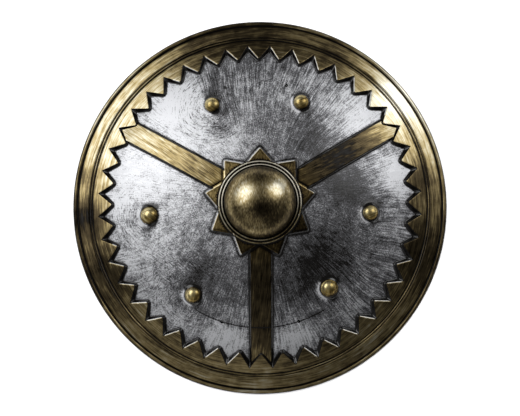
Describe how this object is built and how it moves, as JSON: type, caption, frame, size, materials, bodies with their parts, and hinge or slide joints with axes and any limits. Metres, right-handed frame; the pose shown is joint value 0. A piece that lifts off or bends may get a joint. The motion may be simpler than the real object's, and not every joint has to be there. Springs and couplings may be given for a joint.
{
  "type": "costume viking shield",
  "caption": "Round hollow toy shield of moulded plastic: domed field, toothed rim band, spokes, star plate with a domed boss, studs and small strap holes.",
  "frame": {"origin": "centre of the circle that the foot of the rim stands on", "axes": "+Z straight out of the painted face, +Y towards the side worn uppermost, opposite the spoke that hangs down, +X to the right seen from the front"},
  "size_m": [0.59, 0.59, 0.1154],
  "materials": {
    "painted_shell": "black moulded plastic, dry-brushed silver on the field and antique gold on the raised bands, bare behind"
  },
  "bodies": {
    "root": {"shield_shell": "painted_shell"}
  },
  "joints": []
}
